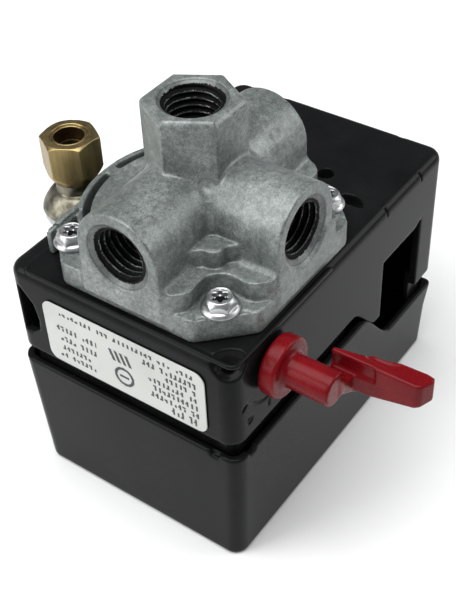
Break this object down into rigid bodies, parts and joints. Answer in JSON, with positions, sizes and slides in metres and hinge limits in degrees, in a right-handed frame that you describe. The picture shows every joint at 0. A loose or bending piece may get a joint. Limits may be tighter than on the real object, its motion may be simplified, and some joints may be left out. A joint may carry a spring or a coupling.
{
  "type": "pressure switch",
  "caption": "Diaphragm pressure switch with a die-cast ported manifold, moulded base and cover, rotary auto/off lever and side unloader valve.",
  "frame": {"origin": "centre of the flat outer face of the cover, which the switch stands on with its ports upwards", "axes": "+Z from the cover towards the hexagonal inlet boss; +X towards the conduit end, away from the rating label; -Y is the side of the auto/off lever and +Y the side of the unloader valve"},
  "size_m": [0.1063, 0.1215, 0.1168],
  "materials": {
    "zinc_casting": "cast grey zinc alloy, satin and mottled",
    "black_plastic": "moulded black plastic, semi-gloss",
    "red_plastic": "moulded deep red plastic",
    "brass": "machined brass",
    "nickel_plate": "nickel plated brass, slightly warm",
    "zinc_plated_steel": "zinc plated steel",
    "screw_zinc": "bright zinc plated steel",
    "spring_steel": "drawn spring steel",
    "contact_copper": "copper strip with silver tips",
    "brown_phenolic": "moulded brown phenolic",
    "diaphragm_rubber": "moulded rubber",
    "label_film": "printed polyester film"
  },
  "bodies": {
    "switch_body": {"manifold": "zinc_casting", "diaphragm": "diaphragm_rubber", "base_housing": "black_plastic", "cover": "black_plastic", "rating_label": "label_film", "mechanism_bracket": "zinc_plated_steel", "lever_pivot_pin": "zinc_plated_steel", "carrier_pivot_pin": "zinc_plated_steel", "range_stud": "zinc_plated_steel", "range_spring": "spring_steel", "cover_nut": "zinc_plated_steel", "snap_spring": "spring_steel", "terminal_block": "brown_phenolic", "unloader_body": "nickel_plate", "compression_nut": "brass", "ferrule": "brass", "unloader_lock_nut": "brass", "unloader_plug": "brass", "unloader_spring": "spring_steel", "flange_screw_1": "screw_zinc", "terminal_1": "brass", "terminal_screw_1": "screw_zinc", "flange_screw_2": "screw_zinc", "terminal_2": "brass", "terminal_screw_2": "screw_zinc", "flange_screw_3": "screw_zinc", "terminal_3": "brass", "terminal_screw_3": "screw_zinc", "flange_screw_4": "screw_zinc", "terminal_4": "brass", "terminal_screw_4": "screw_zinc", "block_screw_1": "screw_zinc", "block_screw_2": "screw_zinc"},
    "piston": {"piston": "zinc_plated_steel"},
    "main_lever": {"main_lever": "zinc_plated_steel"},
    "contact_carrier": {"contact_carrier": "brown_phenolic", "moving_contact_1": "contact_copper", "moving_contact_2": "contact_copper", "trip_arm": "zinc_plated_steel"},
    "unloader_stem": {"unloader_stem": "zinc_plated_steel"},
    "auto_off_lever": {"auto_off_lever": "red_plastic", "lever_clip": "spring_steel"},
    "range_adjuster": {"range_nut": "zinc_plated_steel", "spring_seat": "zinc_plated_steel"}
  },
  "joints": [
    {"name": "pressure_stroke", "type": "slide", "parent": "switch_body", "child": "piston", "axis": [0, 0, -1], "range_m": [0, 0.002], "stiffness_N_per_m": 1500, "springref_m": -0.0005},
    {"name": "main_lever_tilt", "type": "hinge", "parent": "switch_body", "child": "main_lever", "pos_m": [0.0112, -0.001, 0.0543], "axis": [0, -1, 0], "range_deg": [0, 3.9], "deforming": ["snap_spring"]},
    {"name": "contact_snap", "type": "hinge", "parent": "switch_body", "child": "contact_carrier", "pos_m": [0.0172, -0.001, 0.0483], "axis": [0, 1, 0], "range_deg": [0, 5]},
    {"name": "unloader_stroke", "type": "slide", "parent": "switch_body", "child": "unloader_stem", "axis": [0, 0, 1], "range_m": [0, 0.0032], "deforming": ["unloader_spring"]},
    {"name": "auto_off_turn", "type": "hinge", "parent": "switch_body", "child": "auto_off_lever", "pos_m": [-0.0365, -0.0353, 0.0636], "axis": [0, 1, 0], "range_deg": [0, 50]},
    {"name": "range_adjust", "type": "slide", "parent": "switch_body", "child": "range_adjuster", "axis": [0, 0, 1], "range_m": [0, 0.006], "deforming": ["range_spring"]}
  ],
  "couplings": [
    {"joint": "main_lever_tilt", "follows": "pressure_stroke", "rad_per_m": 32.9},
    {"joint": "contact_snap", "follows": "pressure_stroke", "rad_per_m": 43},
    {"joint": "unloader_stroke", "follows": "pressure_stroke", "ratio": 1.55}
  ]
}
